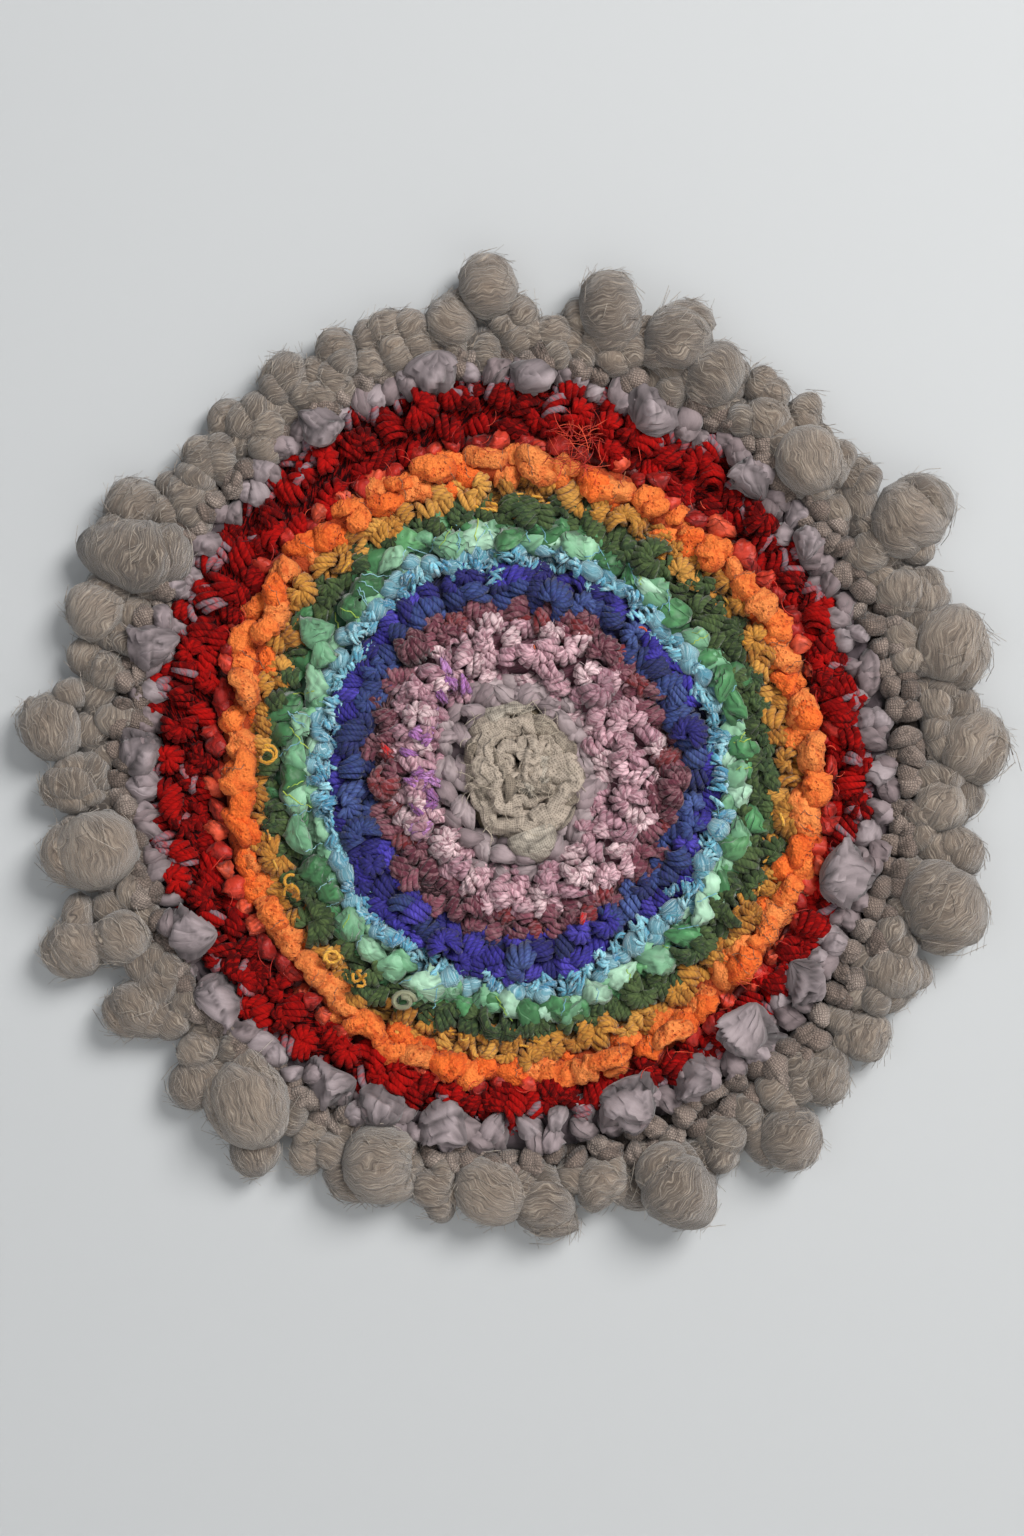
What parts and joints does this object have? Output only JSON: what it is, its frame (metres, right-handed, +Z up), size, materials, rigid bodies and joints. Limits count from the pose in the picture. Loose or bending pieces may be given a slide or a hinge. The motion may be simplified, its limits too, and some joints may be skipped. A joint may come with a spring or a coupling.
{
  "type": "round textile wall hanging",
  "caption": "Round wall hanging looped outwards in rounds of yarn and cloth strip, from a linen rosette to a border of thick wool roving, flat at the back.",
  "frame": {"origin": "hanging point at the top edge of the border, on the plane of the flat back", "axes": "+Z up the wall, -Y out of the face, +Y into the wall, +X to the right as the face is seen"},
  "size_m": [0.5993, 0.0411, 0.6015],
  "materials": {
    "linen": "torn plain-weave linen strip, crumpled and wound into a rosette",
    "mauve_jersey": "smooth cut jersey strip in looped tubes",
    "pink_yarn": "marled pink yarn in short loops with a few lilac satin ends",
    "plum_yarn": "marled plum yarn in short loops",
    "indigo_yarn": "indigo and denim yarn in wrapped loops",
    "turquoise_yarn": "pale turquoise roving and curly boucle yarn",
    "green_satin": "mint and green satin and cotton strip in pinched folds",
    "forest_wool": "plump forest green plied wool loops",
    "ochre_wool": "ochre wool loops with yellow flecks",
    "orange_knit": "nubbly orange knit strip in lumps tied with grey thread",
    "coral_voile": "thin coral voile strip with frayed edges",
    "red_wool": "deep red wool loops, plied with grey strands at the outer edge",
    "mauve_cotton": "smooth mauve cotton strip, knotted and creased",
    "taupe_knit": "taupe knit strip in nubbly lumps",
    "grey_roving": "thick undyed grey-brown wool roving in puffs with loose fibres"
  },
  "bodies": {
    "root": {"linen_rosette": "linen", "mauve_jersey_round": "mauve_jersey", "pink_yarn_round": "pink_yarn", "plum_yarn_round": "plum_yarn", "indigo_yarn_round": "indigo_yarn", "turquoise_yarn_round": "turquoise_yarn", "green_satin_round": "green_satin", "forest_wool_round": "forest_wool", "ochre_wool_round": "ochre_wool", "orange_knit_round": "orange_knit", "coral_voile_round": "coral_voile", "red_wool_round": "red_wool", "mauve_cotton_round": "mauve_cotton", "taupe_knit_round": "taupe_knit", "grey_roving_border": "grey_roving"}
  },
  "joints": []
}
